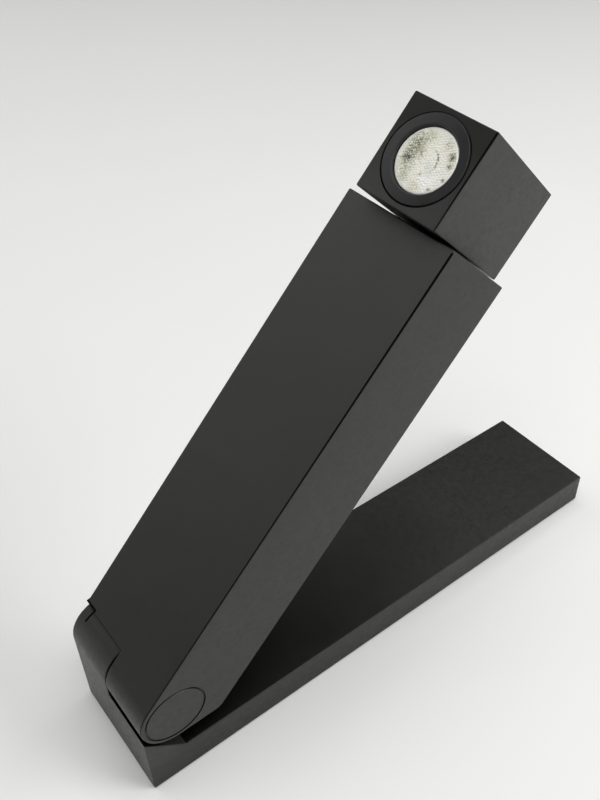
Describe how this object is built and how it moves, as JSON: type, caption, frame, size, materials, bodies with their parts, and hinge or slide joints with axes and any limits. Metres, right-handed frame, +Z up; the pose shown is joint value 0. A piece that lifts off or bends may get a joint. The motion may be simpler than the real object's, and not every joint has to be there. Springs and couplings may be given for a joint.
{
  "type": "folding LED desk lamp",
  "caption": "Folding LED desk lamp in satin black metal: a flat weighted bar base, a rectangular arm on an end hinge, and a square head with a round lens that turns on the arm's end.",
  "frame": {"origin": "centre of the base's footprint, at table level", "axes": "+X along the base away from the hinge, +Y across the base from the arm's tongue to the base's knuckle, +Z up"},
  "size_m": [0.273, 0.06, 0.2484],
  "materials": {
    "satin_black_paint": "satin black powder coat",
    "matt_black_trim": "matt black moulded plastic",
    "zinc_plated_steel": "zinc plated",
    "raw_iron": "raw",
    "bare_aluminium": "machined",
    "white_nylon": "natural nylon",
    "black_rubber": "matt",
    "clear_lens": "clear acrylic with a pebbled face",
    "led_phosphor": "silicone over phosphor",
    "circuit_board": "solder mask",
    "cable_sheath": "soft sheath"
  },
  "bodies": {
    "base": {"base_body": "satin_black_paint", "bottom_cover": "matt_black_trim", "ballast_plate": "raw_iron", "foot_1": "black_rubber", "foot_2": "black_rubber", "foot_3": "black_rubber", "foot_4": "black_rubber", "base_screw_1": "zinc_plated_steel", "base_screw_2": "zinc_plated_steel", "base_screw_3": "zinc_plated_steel", "base_screw_4": "zinc_plated_steel", "dc_inlet": "matt_black_trim", "base_lead": "cable_sheath", "hinge_axle": "zinc_plated_steel", "axle_nut": "zinc_plated_steel", "disc_spring_1": "zinc_plated_steel", "disc_spring_2": "zinc_plated_steel", "friction_washer": "white_nylon", "far_hinge_cap": "satin_black_paint"},
    "arm": {"arm_body": "satin_black_paint", "arm_back_cover": "satin_black_paint", "arm_screw_1": "zinc_plated_steel", "arm_screw_2": "zinc_plated_steel", "arm_screw_3": "zinc_plated_steel", "arm_screw_4": "zinc_plated_steel", "near_hinge_cap": "satin_black_paint", "hinge_bush": "white_nylon", "driver_board": "circuit_board", "supply_lead": "cable_sheath", "lamp_lead": "cable_sheath", "swivel_bush": "white_nylon", "swivel_spacer": "matt_black_trim", "stop_pin": "zinc_plated_steel"},
    "head": {"head_housing": "satin_black_paint", "head_back_cover": "satin_black_paint", "head_screw_1": "zinc_plated_steel", "head_screw_2": "zinc_plated_steel", "head_screw_3": "zinc_plated_steel", "head_screw_4": "zinc_plated_steel", "swivel_shaft": "zinc_plated_steel", "swivel_nut": "zinc_plated_steel", "stop_ring": "zinc_plated_steel", "heat_sink": "bare_aluminium", "led_board": "bare_aluminium", "led_emitter": "led_phosphor", "lens_holder": "matt_black_trim", "lens": "clear_lens", "bezel_ring": "matt_black_trim", "head_lead": "cable_sheath"}
  },
  "joints": [
    {"name": "arm_fold", "type": "hinge", "parent": "base", "child": "arm", "pos_m": [-0.1207, 0, 0.0438], "axis": [0, -1, 0], "range_deg": [-41.9, 88.6]},
    {"name": "head_swivel", "type": "hinge", "parent": "arm", "child": "head", "pos_m": [0.03091, 0, 0.19603], "axis": [0.69, 0, 0.7238], "range_deg": [-175, 174.6]}
  ]
}
